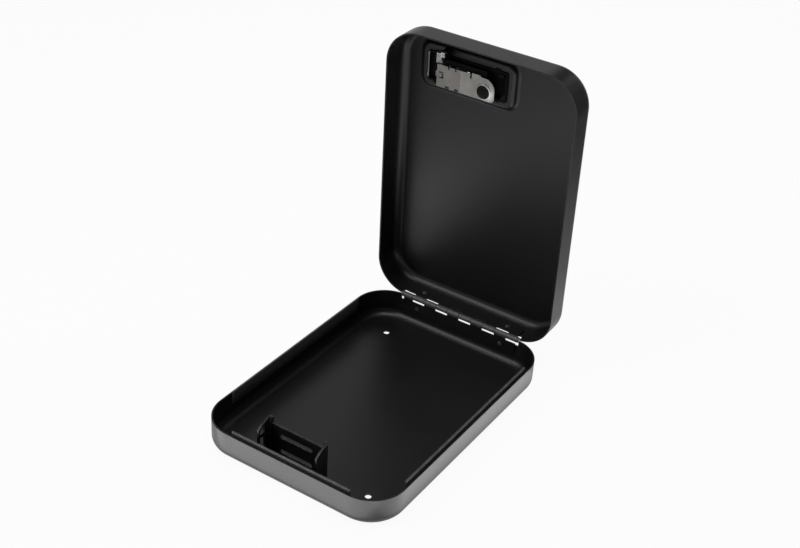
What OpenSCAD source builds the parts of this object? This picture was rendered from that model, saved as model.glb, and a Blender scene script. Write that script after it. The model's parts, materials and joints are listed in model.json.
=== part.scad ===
/* [Shells] */
// Outside width, left to right
box_w = 168; // [150:1:220]
// Outside depth, front edge to hinge edge
box_l = 240; // [200:1:320]
// Outside height of the tray
tray_h = 24.2; // [22:0.2:36]
// Outside height of the lid
lid_h = 25.2; // [24:0.2:36]
// Radius of the four upright corners
corner_r = 29; // [20:0.5:36]
// Outside radius of the drawn edge between wall and panel
edge_r = 8; // [4:0.5:10]
// Thickness of the drawn sheet
sheet_t = 1.2; // [0.8:0.1:1.6]
// Angle of the open lid at its stop, from closed
lid_open = 88.4; // [70:0.2:95]

/* [Mounting holes] */
// Diameter of the two through holes in the tray floor
hole_d = 5; // [3:0.5:8]
// Distance of each hole from the middle, across
hole_x = 53; // [30:1:60]
// Distance of each hole from the middle, front to back
hole_y = 90; // [50:1:92]

/* [Hinge] */
// Length of the piano hinge
hinge_len = 115; // [80:1:140]
// Number of knuckles, shared in turn by the two leaves
knuckle_n = 10; // [6:2:14]
// Outside radius of the barrel
barrel_r = 2.4; // [2.1:0.05:2.5]
// Distance of the barrel's middle from the box's rear face
hinge_inset = 0.5; // [0.3:0.05:0.6]
// Thickness of each leaf
leaf_t = 1; // [0.8:0.05:1]
// Height of each leaf from the barrel's middle
leaf_h = 13; // [10:0.5:14]
// Radius of the hinge pin
pin_r = 1.3; // [0.8:0.05:1.4]
// Running clearance round the pin
pin_fit = 0.05; // [0.03:0.01:0.1]
// Gap between one knuckle and the next
knuckle_gap = 0.35; // [0.3:0.05:0.6]
// Gap beyond the barrel where a leaf is notched for the other leaf's knuckles
barrel_gap = 1.5; // [0.5:0.1:2]
// Gap beyond the barrel where the walls are cut back for it
wall_gap = 3.2; // [2:0.1:3.4]
// Distance of each hinge rivet from the middle
hinge_rivet_x = 41; // [25:1:50]
// Distance of the hinge rivets from the barrel's middle
hinge_rivet_z = 9.5; // [9:0.5:10]
// Radius of a hinge rivet's shank
rivet_r = 1.2; // [0.8:0.1:1.5]
// Radius of a hinge rivet's head
rivet_head_r = 1.9; // [1.6:0.1:2.4]
// Thickness of a hinge rivet's head
rivet_head_t = 0.45; // [0.3:0.05:0.8]

/* [Guard strips] */
// Thickness of the strips
strip_t = 1.2; // [0.8:0.1:1.5]
// Height of the strips above the tray's rim
strip_rise = 2.8; // [1.5:0.1:5]
// Reach of the strips below the tray's rim
strip_drop = 9.5; // [8:0.5:12]
// Gap between a wall and the raised part of its strip
strip_gap = 1.4; // [0.8:0.1:2]
// Free straight wall to the left of the front strip
front_strip_left = 4; // [0:1:20]
// Free straight wall to the right of the front strip
front_strip_right = 0; // [0:1:20]
// Free straight wall at the ends of the side strips
side_strip_free = 5; // [2:1:30]
// How much shorter the left strip is at its front end
left_strip_short = 6; // [0:1:20]

/* [Striker] */
// Width of the bracket over its two cheeks
striker_w = 53.8; // [44:0.2:60]
// Middle of the bracket, from the box's middle
striker_x = -5.3; // [-10:0.1:0]
// Distance of the bracket's back face from the front of the box
striker_back = 24; // [22:0.5:30]
// Depth of the cheeks, front to back
cheek_d = 15.4; // [13:0.2:16]
// Height of the cheeks from under the tray
cheek_top = 38.8; // [37.8:0.2:39.8]
// Radius of the curved top of the cheeks
cheek_r = 24; // [20:0.5:40]
// Height of the back plate from under the tray
plate_top = 33; // [29:0.2:34]
// Thickness of the bracket
striker_t = 1.5; // [1:0.1:2]
// Outside radius of the bracket's bends
bend_r = 2.5; // [2.2:0.1:4]
// Length of the two slots in the back plate
plate_slot_len = 29.5; // [16:0.5:34]
// Height of each slot
plate_slot_h = 3.4; // [2:0.1:5]
// Height of the upper slot's middle
upper_slot_z = 24.7; // [20:0.1:26]
// Height of the lower slot's middle
lower_slot_z = 10.8; // [7:0.1:12]

/* [Lock pocket] */
// Width of the opening in the lid's pressed pocket
pocket_w = 72.5; // [70:0.5:76]
// Length of the opening, front to back
pocket_l = 25.5; // [25:0.5:28]
// Middle of the opening, from the box's middle
pocket_x = -21.25; // [-24:0.25:-18]
// Distance of the opening's middle from the front of the box
pocket_front = 31.75; // [31:0.25:36]
// Depth of the pocket pressed into the lid
pocket_depth = 4; // [3.5:0.1:4.5]
// Width of the pocket's flat rim round the opening
pocket_rim = 3; // [2.6:0.1:4]
// Run of the pocket's curved side
pocket_run = 6; // [5:0.5:7]
// Corner radius of the opening
pocket_r = 2.5; // [2:0.1:4]

/* [Lock] */
// Depth of the chassis plate below the lid's top
chassis_depth = 11.7; // [11.5:0.1:12]
// Thickness of the chassis sheet
chassis_t = 1; // [0.8:0.1:1.2]
// Wall of the plastic housing
housing_t = 1.6; // [1.2:0.1:1.8]
// Clearance of the housing in the opening
housing_fit = 0.25; // [0.15:0.05:0.4]
// Radius of a number wheel
wheel_r = 5; // [4.5:0.1:5.1]
// Width of a number wheel
wheel_w = 5; // [4:0.1:5.4]
// Spacing of the number wheels
wheel_pitch = 6.5; // [6:0.1:6.8]
// Radius of the wheels' axle
axle_r = 1; // [0.8:0.05:1.2]
// Running clearance on the axle
axle_fit = 0.08; // [0.05:0.01:0.1]
// Radius of the turning knob
knob_r = 8.2; // [6.5:0.1:8.4]
// Angle the knob turns through
knob_turn = 44; // [30:2:60]
// Radius of the crank pin's path
crank_r = 4.8; // [4.4:0.1:5]
// Travel of the code setting slide
reset_travel = 1.3; // [0.8:0.1:1.4]

/* [Hidden] */
$fn = 96;

// Overlap that makes a cut run clear of a face
cut = 1;
// Clear distance between pieces that move past each other
run_gap = 0.35;

coat = "#1c1c1e";
nickel = "#b9b4aa";
plastic = "#0c0c0d";
steel = "#8d8c88";

// ---- places that several pieces share ----
inner_edge_r = edge_r - sheet_t;
wall_x = box_w / 2 - sheet_t;
wall_y = box_l / 2 - sheet_t;
hinge_y = box_l / 2 - hinge_inset;
notch_len = hinge_len + 2 * run_gap;
straight_w = box_w - 2 * corner_r;
straight_l = box_l - 2 * corner_r;
front_strip_len = straight_w - front_strip_left - front_strip_right;
side_strip_len = straight_l - 2 * side_strip_free;
// Rear face of the walls at the ends of the notch, where the lid comes to rest on the tray
notch_bend = max(0, notch_len / 2 - (box_w / 2 - corner_r));
stop_y = box_l / 2 - corner_r + sqrt(corner_r * corner_r - notch_bend * notch_bend);
stop_clearance = 0.02;
// Only wall that stands behind the hinge's axis meets the lid
stop_reach = max(0, stop_y - hinge_y);
rim_gap = 2 * (stop_reach * tan(lid_open / 2) + stop_clearance);
hinge_z = tray_h + rim_gap / 2;
lid_rim_z = tray_h + rim_gap;
closed_h = lid_rim_z + lid_h;
lid_ceiling = closed_h - sheet_t;

// ---- striker ----
striker_y = -box_l / 2 + striker_back;
striker_left = striker_x - striker_w / 2;
cheek_hole_z = 15.5;
cheek_hole_top = 25.4;

// ---- pocket, in the closed box ----
pocket_y = -box_l / 2 + pocket_front;
plateau_z = lid_ceiling - pocket_depth;
recess_z = plateau_z + sheet_t;
pocket_left = pocket_x - pocket_w / 2;
pocket_back = pocket_y + pocket_l / 2;
pocket_fore = pocket_y - pocket_l / 2;
// Arc of the pocket's side: two equal arcs make the run and the depth
side_angle = 2 * atan(pocket_depth / pocket_run);
side_r = pocket_run / (2 * sin(side_angle));

// ---- housing and escutcheon ----
escutcheon_t = 2.6;
escutcheon_rim = pocket_rim - 0.4;
escutcheon_z = recess_z + escutcheon_t;
ceiling_t = 2;
cavity_z = escutcheon_z - ceiling_t;
housing_foot = plateau_z - 1;
housing_left = pocket_left + housing_fit;
housing_back = pocket_back - housing_fit;
housing_fore = pocket_fore + housing_fit;
housing_right = pocket_left + pocket_w - housing_fit;

// ---- chassis, measured from the pocket's corner that is nearest the hinge ----
chassis_z = closed_h - chassis_depth;
chassis_back = pocket_back + 0.1;
chassis_w = 18.5;
chassis_fore = chassis_back - chassis_w;
chassis_left = pocket_left + 12.3;
chassis_right = chassis_left + 52;
chassis_floor = chassis_z + chassis_t;
wall_back = housing_back - housing_t - 0.1;

// ---- number wheels ----
wheel_y = chassis_back - 10;
wheel_x = chassis_left + 15.2;
wheel_z = closed_h - 5.3;
wheel_gap = 0.45;
window_w = wheel_w + 2 * wheel_gap;
window_l = 2 * (sqrt(wheel_r * wheel_r - pow(cavity_z - wheel_z, 2)) + wheel_gap);
cheek_left = wheel_x - wheel_pitch - wheel_w / 2 - 0.4 - chassis_t;
cheek_right = wheel_x + wheel_pitch + wheel_w / 2 + 0.4;
cheek_l = 9;
axle_end = 0.3;

// ---- turning knob and its crank ----
knob_x = chassis_right - 9.5;
knob_y = chassis_back - 7;
knob_gap = 0.15;
spindle_r = 2.8;
spindle_fit = 0.08;
hub_bore_r = 5.6;
hub_fit = 0.05;
neck_z = chassis_floor + 0.6;
boss_z = chassis_floor + 3;
boss_top = boss_z + 2.6;
socket_z = boss_z + 0.4;
socket_fit = 0.03;
crank_pin_r = 0.8;
crank_pin_foot = chassis_floor + 0.8;
// The pin swings evenly to both sides of -Y
crank_swing = crank_r * sin(knob_turn / 2);
crank_dip = crank_r * cos(knob_turn / 2);

// ---- latch ----
latch_travel = 2 * crank_swing;
nose_w = 4.2;
nose_l = 8.2;
nose_h = 4.4;
nose_right = striker_left - 0.4 - latch_travel;
nose_left = nose_right - nose_w;
nose_foot = 28.6;
nose_y = -box_l / 2 + 12.1;
tongue_over = 0.5;
tongue_tip = striker_left + striker_t + tongue_over - latch_travel;
tongue_y = nose_y - 1;
tongue_l = 3.7;
tongue_z = nose_foot + 0.6;
tongue_h = 3.3;
hole_gap = 0.7;
arm_side = 0.2;
arm_left = nose_left + arm_side;
arm_right = nose_right - arm_side;
arm_y = nose_y + 0.5;
arm_l = 7.7;
arm_t = 3;
arm_foot = nose_foot + nose_h;
arm_top = housing_foot - 0.4;
bar_back = chassis_fore - 0.6;
bar_l = 4.2;
bar_fore = bar_back - bar_l;
bar_top = cavity_z - 0.5;
bar_foot = arm_top - arm_t;
finger_w = 5.2;
finger_right = knob_x - crank_swing + finger_w / 2;

// ================= shared shapes =================

// Moves a piece drawn in the closed lid to where the open lid holds it
module in_lid() {
    translate([0, hinge_y, hinge_z])
        rotate([-lid_open, 0, 0])
            translate([0, -hinge_y, -hinge_z])
                children();
}

// A drawn form: its section (outer edge at x = 0, growing to -x) goes round a rounded rectangle
module drawn_form(w, l, r) {
    for (sx = [-1, 1], sy = [-1, 1])
        translate([sx * (w / 2 - r), sy * (l / 2 - r), 0])
            rotate_extrude()
                intersection() {
                    translate([r, 0])
                        children();
                    translate([0, -box_l])
                        square(2 * box_l);
                }
    drawn_run(w, l - 2 * r)
        children();
    rotate([0, 0, 90])
        drawn_run(l, w - 2 * r)
            children();
}

// The straight part of a drawn form, w wide and l long
module drawn_run(w, l) {
    rotate([90, 0, 0])
        linear_extrude(l, center = true)
            for (side = [0, 1])
                mirror([side, 0])
                    intersection() {
                        translate([w / 2, 0])
                            children();
                        translate([0, -box_l])
                            square(2 * box_l);
                    }
}

// Section of a pan: wall height h, bottom edge rounded by f
module pan_section(h, f) {
    translate([-box_l, f])
        square([box_l, h - f]);
    translate([-box_l, 0])
        square([box_l - f, h]);
    translate([-f, f])
        circle(f);
}

// Open pan standing on z = 0 with its rim at h
module pan(h) {
    difference() {
        drawn_form(box_w, box_l, corner_r)
            pan_section(h, edge_r);
        translate([0, 0, sheet_t])
            drawn_form(box_w - 2 * sheet_t, box_l - 2 * sheet_t, corner_r - sheet_t)
                pan_section(h, inner_edge_r);
    }
}

// Section of the pressed pocket as a solid; thick = 0 gives its inner face, sheet_t its outer face
module pocket_section(thick, floor_z) {
    r1 = side_r - thick;
    r2 = side_r + thick;
    steps = 10;
    crest = [
        for (i = [0:steps])
            let (a = side_angle * i / steps)
            [r1 * sin(a), pocket_depth - side_r + r1 * cos(a)]
    ];
    foot = [
        for (i = [1:steps])
            let (a = side_angle * (1 - i / steps))
            [pocket_run - r2 * sin(a), side_r - r2 * cos(a)]
    ];
    polygon(concat(
        crest,
        foot,
        [[pocket_run, floor_z], [-box_l, floor_z], [-box_l, pocket_depth - thick]]
    ));
}

// Upright prism with a rounded rectangular plan, from z0 to z1
module rounded_block(w, l, r, z0, z1) {
    translate([0, 0, z0])
        linear_extrude(z1 - z0)
            rounded_rect(w, l, r);
}

module rounded_rect(w, l, r) {
    square([w - 2 * r, l], center = true);
    square([w, l - 2 * r], center = true);
    for (sx = [-1, 1], sy = [-1, 1])
        translate([sx * (w / 2 - r), sy * (l / 2 - r)])
            circle(r);
}

// Box between two corners
module block(p, q) {
    translate(p)
        cube(q - p);
}

// Cylinder along X from x0 to x1
module bar_x(x0, x1, r) {
    translate([x0, 0, 0])
        rotate([0, 90, 0])
            cylinder(h = x1 - x0, r = r);
}

// ================= tray =================

module tray_shell() {
    color(coat)
        difference() {
            pan(tray_h);
            for (s = [-1, 1])
                translate([-s * hole_x, s * hole_y, -cut])
                    cylinder(h = sheet_t + 2 * cut, d = hole_d);
            block(
                [-notch_len / 2, wall_y - cut, hinge_z - barrel_r - wall_gap],
                [notch_len / 2, box_l / 2 + cut, tray_h + cut]
            );
            tray_rivet_places()
                cylinder(h = 4 * (sheet_t + leaf_t), r = rivet_r + pin_fit, center = true);
        }
}

// Section of a guard strip: welded foot on the wall at x = 0, joggle, then the raised blade
module strip_section() {
    bend = strip_drop / 2;
    blade = strip_gap + strip_t;
    polygon([
        [0, -strip_drop], [strip_t, -strip_drop], [strip_t, -bend - strip_t / 3],
        [blade, -bend + strip_gap - strip_t / 3], [blade, strip_rise], [strip_gap, strip_rise],
        [strip_gap, -bend + strip_gap], [0, -bend]
    ]);
}

// A guard strip of length l on the wall that lies at distance d along -Y
module guard_strip(l, d) {
    translate([0, -d, tray_h])
        rotate([90, 0, 90])
            linear_extrude(l, center = true)
                strip_section();
}

module front_guard_strip() {
    color(coat)
        translate([(front_strip_left - front_strip_right) / 2, 0, 0])
            guard_strip(front_strip_len, wall_y);
}

module left_guard_strip() {
    color(coat)
        translate([0, left_strip_short / 2, 0])
            rotate([0, 0, -90])
                guard_strip(side_strip_len - left_strip_short, wall_x);
}

module right_guard_strip() {
    color(coat)
        rotate([0, 0, 90])
            guard_strip(side_strip_len, wall_x);
}

// Plan of the bracket: a U open to the front, with its back face at y = 0
module striker_plan(inset, r) {
    w = striker_w - 2 * inset;
    translate([-w / 2, -cheek_d - cut * inset])
        square([w, cheek_d + cut * inset - inset - r]);
    translate([-w / 2 + r, -cheek_d - cut * inset])
        square([w - 2 * r, cheek_d + cut * inset - inset]);
    for (s = [-1, 1])
        translate([s * (w / 2 - r), -inset - r])
            circle(r);
}

// Window in the left cheek, in the tongue's line, from z0 to z1
module cheek_hole(z0, z1) {
    block(
        [-striker_w / 2 - cut, tongue_y - hole_gap - striker_y, z0],
        [-striker_w / 2 + striker_t + cut, tongue_y + tongue_l + hole_gap - striker_y, z1]
    );
}

module striker_bracket() {
    inner_r = bend_r - striker_t;
    foot_w = striker_w - 2 * bend_r - 2;
    color(coat)
        translate([striker_x, striker_y, 0])
            difference() {
                union() {
                    intersection() {
                        translate([0, 0, sheet_t])
                            linear_extrude(cheek_top)
                                difference() {
                                    striker_plan(0, bend_r);
                                    striker_plan(striker_t, inner_r);
                                }
                        rotate([90, 0, 90])
                            linear_extrude(2 * striker_w, center = true)
                                intersection() {
                                    translate([-cheek_d, 0])
                                        square([cheek_d, cheek_top]);
                                    translate([0, cheek_top - cheek_r])
                                        union() {
                                            circle(cheek_r);
                                            translate([-cheek_r, -cheek_r])
                                                square([2 * cheek_r, cheek_r]);
                                        }
                                }
                    }
                    block(
                        [-foot_w / 2, -cheek_d + 2, sheet_t],
                        [foot_w / 2, -striker_t, sheet_t + striker_t]
                    );
                }
                block(
                    [-striker_w / 2 + bend_r + 1, -striker_t - inner_r, plate_top],
                    [striker_w / 2 - bend_r - 1, cut, cheek_top + cut]
                );
                for (z = [lower_slot_z, upper_slot_z])
                    translate([-1.9, cut, z])
                        rotate([90, 0, 0])
                            linear_extrude(striker_t + 2 * cut)
                                rounded_rect(plate_slot_len, plate_slot_h, plate_slot_h / 2 - 0.2);
                cheek_hole(cheek_hole_z, cheek_hole_top);
                cheek_hole(tongue_z - hole_gap, tongue_z + tongue_h + hole_gap);
            }
}

// ================= hinge =================

knuckle_pitch = hinge_len / knuckle_n;

// Knuckles whose number is even (0) or odd (1), left to right, on the axis
module knuckles(first) {
    for (i = [first:2:knuckle_n - 1])
        bar_x(
            -hinge_len / 2 + i * knuckle_pitch + knuckle_gap / 2,
            -hinge_len / 2 + (i + 1) * knuckle_pitch - knuckle_gap / 2,
            barrel_r
        );
}

// One leaf with its knuckles; the leaf hangs down (-Z) from the axis, on the wall's flat inner side
module hinge_leaf(first) {
    relief = barrel_r + barrel_gap;
    leaf_y = hinge_inset - sheet_t - leaf_t;
    leaf_x = min(hinge_len / 2, box_w / 2 - corner_r);
    difference() {
        union() {
            knuckles(first);
            block([-leaf_x, leaf_y, -leaf_h], [leaf_x, leaf_y + leaf_t, 0]);
        }
        for (i = [1 - first:2:knuckle_n - 1])
            block(
                [-hinge_len / 2 + i * knuckle_pitch - knuckle_gap / 2, leaf_y - cut, -relief],
                [-hinge_len / 2 + (i + 1) * knuckle_pitch + knuckle_gap / 2, 0, cut]
            );
        bar_x(-hinge_len, hinge_len, pin_r + pin_fit);
        for (s = [-1, 1])
            translate([s * hinge_rivet_x, 0, -hinge_rivet_z])
                rotate([90, 0, 0])
                    cylinder(h = 4 * barrel_r, r = rivet_r + pin_fit, center = true);
    }
}

module tray_rivet_places() {
    for (s = [-1, 1])
        translate([s * hinge_rivet_x, wall_y, hinge_z - hinge_rivet_z])
            rotate([-90, 0, 0])
                children();
}

module lid_rivet_places() {
    for (s = [-1, 1])
        translate([s * hinge_rivet_x, wall_y, hinge_z + hinge_rivet_z])
            rotate([-90, 0, 0])
                children();
}

// Rivet along Z: the wall's inner face is z = 0, the leaf lies below it
module hinge_rivet() {
    bevel = rivet_head_t * 0.6;
    translate([0, 0, -leaf_t])
        cylinder(h = leaf_t + sheet_t, r = rivet_r);
    translate([0, 0, -leaf_t - rivet_head_t])
        cylinder(h = rivet_head_t, r1 = rivet_head_r - bevel, r2 = rivet_head_r);
    translate([0, 0, sheet_t])
        cylinder(h = rivet_head_t, r1 = rivet_head_r, r2 = rivet_head_r - bevel);
}

module tray_hinge_leaf() {
    color(coat)
        translate([0, hinge_y, hinge_z])
            hinge_leaf(0);
}

module lid_hinge_leaf() {
    color(coat)
        in_lid()
            translate([0, hinge_y, hinge_z])
                mirror([0, 0, 1])
                    hinge_leaf(1);
}

module tray_hinge_rivets() {
    color(coat)
        tray_rivet_places()
            hinge_rivet();
}

module lid_hinge_rivets() {
    color(coat)
        in_lid()
            lid_rivet_places()
                hinge_rivet();
}

module hinge_pin() {
    color(steel)
        translate([0, hinge_y, hinge_z])
            bar_x(-hinge_len / 2, hinge_len / 2, pin_r);
}

// ================= lid =================

module pocket_form(thick, floor_z) {
    drawn_form(
        pocket_w + 2 * pocket_rim,
        pocket_l + 2 * pocket_rim,
        pocket_r + pocket_rim
    )
        pocket_section(thick, floor_z);
}

// The lid upside down, panel on z = 0 and its front at +Y
module lid_pan() {
    difference() {
        union() {
            pan(lid_h);
            translate([pocket_x, -pocket_y, sheet_t])
                pocket_form(0, -sheet_t / 2);
        }
        translate([pocket_x, -pocket_y, sheet_t])
            pocket_form(sheet_t, -sheet_t - cut);
        translate([pocket_x, -pocket_y, 0])
            rounded_block(pocket_w, pocket_l, pocket_r, -cut, pocket_depth + 2 * sheet_t);
        block(
            [-notch_len / 2, -box_l / 2 - cut, lid_h + lid_rim_z - hinge_z - barrel_r - wall_gap],
            [notch_len / 2, -wall_y + cut, lid_h + cut]
        );
    }
}

module lid_shell() {
    color(coat)
        in_lid()
            difference() {
                translate([0, 0, closed_h])
                    rotate([180, 0, 0])
                        lid_pan();
                lid_rivet_places()
                    cylinder(h = 4 * (sheet_t + leaf_t), r = rivet_r + pin_fit, center = true);
            }
}

// ================= lock =================

// The housing: an escutcheon in the pocket and a shallow cup through its opening
module lock_housing() {
    lug = 1.1;
    color(plastic)
        in_lid()
            difference() {
                union() {
                    translate([pocket_x, pocket_y, 0])
                        rounded_block(
                            pocket_w + 2 * escutcheon_rim,
                            pocket_l + 2 * escutcheon_rim,
                            pocket_r + escutcheon_rim,
                            recess_z,
                            escutcheon_z
                        );
                    translate([pocket_x, pocket_y, 0])
                        rounded_block(
                            pocket_w - 2 * housing_fit,
                            pocket_l - 2 * housing_fit,
                            pocket_r - housing_fit,
                            housing_foot,
                            recess_z
                        );
                    for (x = [housing_left + 6, housing_right - 12])
                        block(
                            [x, housing_fore - lug, housing_foot],
                            [x + 5, housing_back + lug, plateau_z - 0.05]
                        );
                }
                block(
                    [housing_left + housing_t, housing_fore + housing_t, housing_foot - cut],
                    [housing_right - housing_t, housing_back - housing_t, cavity_z]
                );
                for (i = [-1:1])
                    translate([wheel_x + i * wheel_pitch, wheel_y, 0])
                        block(
                            [-window_w / 2, -window_l / 2, cavity_z - cut],
                            [window_w / 2, window_l / 2, escutcheon_z + cut]
                        );
                translate([knob_x, knob_y, cavity_z - cut])
                    cylinder(h = ceiling_t + 2 * cut, r = spindle_r + spindle_fit);
            }
}

// Outline of the chassis plate, seen in the closed box
module chassis_outline() {
    notch = 0.9;
    deep_notch = 2;
    corner = 3.2;
    shoulder = 9;
    body_w = chassis_right - chassis_left;
    difference() {
        translate([chassis_left, chassis_fore]) {
            square([body_w - corner - shoulder + 1, chassis_w]);
            translate([body_w - corner - shoulder, 0])
                intersection() {
                    square([corner + shoulder, chassis_w]);
                    union() {
                        translate([corner, shoulder])
                            circle(shoulder);
                        translate([shoulder, chassis_w - corner])
                            circle(corner);
                        translate([0, shoulder])
                            square([corner + shoulder, chassis_w - corner - shoulder]);
                        square([corner, chassis_w]);
                        translate([0, chassis_w - 2 * corner])
                            square([shoulder, 2 * corner]);
                    }
                }
        }
        for (x = [7.9, 16.2])
            translate([chassis_left + x, chassis_back - deep_notch])
                square([3.7, deep_notch + cut]);
        for (x = [7.6, 14.2, 22.6])
            translate([chassis_left + x, chassis_fore - cut])
                square([2, notch + cut]);
        translate([chassis_left + 29.8, chassis_fore - cut])
            square([1.5, 3.6 + cut]);
        translate([chassis_left + 2, wheel_y - 2.9])
            square([3.9, 5.8]);
    }
    translate([chassis_left + 31.3, chassis_fore - 1.2])
        square([7.8, 1.2 + 0.1]);
}

// An end cheek of the chassis that holds the axle; its foot is open for the setting slide
module axle_cheek(x) {
    difference() {
        block(
            [x, wheel_y - cheek_l / 2, chassis_floor - 0.1],
            [x + chassis_t, wheel_y + cheek_l / 2, cavity_z]
        );
        block(
            [x - cut, wheel_y - cheek_l / 2 + 1.6, chassis_floor - cut],
            [x + chassis_t + cut, wheel_y + cheek_l / 2 - 1.6, chassis_floor + 1.5]
        );
        translate([0, wheel_y, wheel_z])
            bar_x(x - cut, x + chassis_t + cut, axle_r);
    }
}

module lock_chassis() {
    bump_r = 2;
    bump_h = 0.35;
    side_right = cheek_right + chassis_t;
    color(nickel)
        in_lid()
            difference() {
                union() {
                    translate([0, 0, chassis_z])
                        linear_extrude(chassis_t)
                            chassis_outline();
                    block(
                        [chassis_left + 1, chassis_fore, chassis_z],
                        [side_right, chassis_fore + chassis_t, cavity_z]
                    );
                    block(
                        [chassis_left + 6, wall_back - chassis_t, chassis_z + 0.1],
                        [side_right, wall_back, cavity_z]
                    );
                    axle_cheek(cheek_left);
                    axle_cheek(cheek_right);
                    for (x = [13.2, 19.6])
                        translate([chassis_left + x, wheel_y + 3.2, chassis_z - bump_h + bump_r])
                            intersection() {
                                sphere(bump_r);
                                translate([0, 0, -bump_r])
                                    cube([2 * bump_r, 2 * bump_r, 2 * bump_h + 0.4], center = true);
                            }
                }
                for (x = [9.6, 16.2])
                    block(
                        [chassis_left + x, chassis_fore - cut, chassis_z - cut],
                        [chassis_left + x + 1.4, chassis_fore + chassis_t + cut, chassis_z + 2.4]
                    );
                translate([knob_x, knob_y, chassis_z - cut])
                    cylinder(h = chassis_t + 2 * cut, r = hub_bore_r);
            }
}

// Turned ring seated on the chassis round the crank's hub
module knob_collar() {
    collar_r = 6.8;
    collar_t = 0.8;
    bevel = 0.35;
    color(nickel)
        in_lid()
            translate([knob_x, knob_y, chassis_z])
                mirror([0, 0, 1])
                    difference() {
                        union() {
                            cylinder(h = collar_t - bevel, r = collar_r);
                            translate([0, 0, collar_t - bevel])
                                cylinder(h = bevel, r1 = collar_r, r2 = collar_r - bevel);
                        }
                        translate([0, 0, -cut])
                            cylinder(h = collar_t + 2 * cut, r = hub_bore_r);
                    }
}

// Comb of three fingers that rests against the wheels and gives them their clicks
module detent_spring() {
    comb_t = 0.4;
    finger_w = 2.4;
    comb_y = chassis_fore + chassis_t;
    comb_top = wheel_z + 1.2;
    color(steel)
        in_lid() {
            block(
                [cheek_left + chassis_t + 0.3, comb_y, chassis_floor],
                [cheek_right - 0.3, comb_y + comb_t, chassis_floor + 2]
            );
            for (i = [-1:1])
                translate([wheel_x + i * wheel_pitch, 0, 0])
                    detent_finger(comb_y, comb_t, finger_w, comb_top);
        }
}

// One finger, bent back towards its wheel until a hair's breadth from it
module detent_finger(comb_y, comb_t, finger_w, comb_top) {
    tip_y = wheel_y - wheel_r - 0.15;
    translate([-finger_w / 2, 0, 0])
        rotate([90, 0, 90])
            linear_extrude(finger_w)
                polygon([
                    [comb_y, chassis_floor + 1.8], [comb_y + comb_t, chassis_floor + 1.8],
                    [tip_y, wheel_z - 0.4], [tip_y, wheel_z + 0.4],
                    [comb_y + comb_t, comb_top], [comb_y, comb_top],
                    [tip_y - comb_t, wheel_z + 0.3], [tip_y - comb_t, wheel_z - 0.3]
                ]);
}

module wheel_axle() {
    color(steel)
        in_lid()
            translate([0, wheel_y, wheel_z])
                bar_x(cheek_left - axle_end, cheek_right + chassis_t + axle_end, axle_r);
}

// A number wheel with ten flat fields between shallow finger grooves
module number_wheel(i) {
    groove_r = 0.45;
    hub_gap = 0.1;
    color(plastic)
        in_lid()
            translate([wheel_x + i * wheel_pitch, wheel_y, wheel_z])
                rotate([0, 90, 0])
                    difference() {
                        cylinder(h = wheel_w, r = wheel_r, center = true);
                        cylinder(h = wheel_w + 2 * cut, r = axle_r + axle_fit, center = true);
                        for (k = [0:9])
                            rotate([0, 0, 36 * k + 18])
                                translate([wheel_r + groove_r / 2, 0, 0])
                                    cylinder(h = wheel_w + 2 * cut, r = groove_r, center = true);
                        for (s = [-1, 1])
                            translate([0, 0, s * (wheel_w / 2)])
                                difference() {
                                    cylinder(h = 2 * hub_gap, r = wheel_r - 1, center = true);
                                    cylinder(h = 3 * hub_gap, r = axle_r + 0.8, center = true);
                                }
                    }
}

module number_wheel_1() {
    number_wheel(-1);
}

module number_wheel_2() {
    number_wheel(0);
}

module number_wheel_3() {
    number_wheel(1);
}

// Knob on the escutcheon: a disc with a rounded grip across it, on a spindle
module turn_knob() {
    disc_foot = escutcheon_z + knob_gap;
    disc_t = 1.2;
    bevel = 0.4;
    grip_w = 4.4;
    grip_h = 2.1;
    grip_end = knob_r - 0.9;
    disc_top = disc_foot + disc_t;
    color(plastic)
        in_lid()
            translate([knob_x, knob_y, 0]) {
                translate([0, 0, disc_foot])
                    cylinder(h = disc_t - bevel, r = knob_r);
                translate([0, 0, disc_top - bevel])
                    cylinder(h = bevel, r1 = knob_r, r2 = knob_r - bevel);
                translate([0, 0, disc_top])
                    intersection() {
                        translate([-grip_w / 2, -grip_end, -0.1])
                            cube([grip_w, 2 * grip_end, grip_h + 0.1]);
                        cylinder(h = 2 * grip_h, r = grip_end, center = true);
                        translate([0, 0, grip_h - grip_w])
                            rotate([90, 0, 0])
                                cylinder(h = 3 * grip_end, r = grip_w, center = true);
                    }
                translate([0, 0, socket_z + 0.1])
                    cylinder(h = disc_foot - socket_z, r = spindle_r);
            }
}

// Crank on the spindle: hub in the chassis and its ring, neck, boss with a socket, arm and pin
module knob_crank() {
    dot_r = 0.8;
    boss_r = 4.4;
    arm_w = 3.2;
    hub_foot = chassis_z - 0.5;
    color(plastic)
        in_lid()
            translate([knob_x, knob_y, 0])
                difference() {
                    union() {
                        translate([0, 0, hub_foot])
                            cylinder(h = neck_z - hub_foot, r = hub_bore_r - hub_fit);
                        translate([0, 0, neck_z])
                            cylinder(h = boss_z - neck_z, r = spindle_r);
                        translate([0, 0, boss_z])
                            cylinder(h = boss_top - boss_z, r = boss_r);
                        translate([-crank_swing, -crank_dip, crank_pin_foot])
                            cylinder(h = boss_top - crank_pin_foot, r = crank_pin_r);
                        rotate([0, 0, -90 - knob_turn / 2])
                            block([0, -arm_w / 2, boss_z], [crank_r, arm_w / 2, boss_top]);
                        translate([-crank_swing, -crank_dip, boss_z])
                            cylinder(h = boss_top - boss_z, r = arm_w / 2 + 0.15);
                    }
                    translate([0, 0, socket_z])
                        cylinder(h = boss_top, r = spindle_r + socket_fit);
                    translate([-2.2, 1.7, hub_foot - cut])
                        cylinder(h = cut + 0.6, r = dot_r);
                }
}

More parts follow.
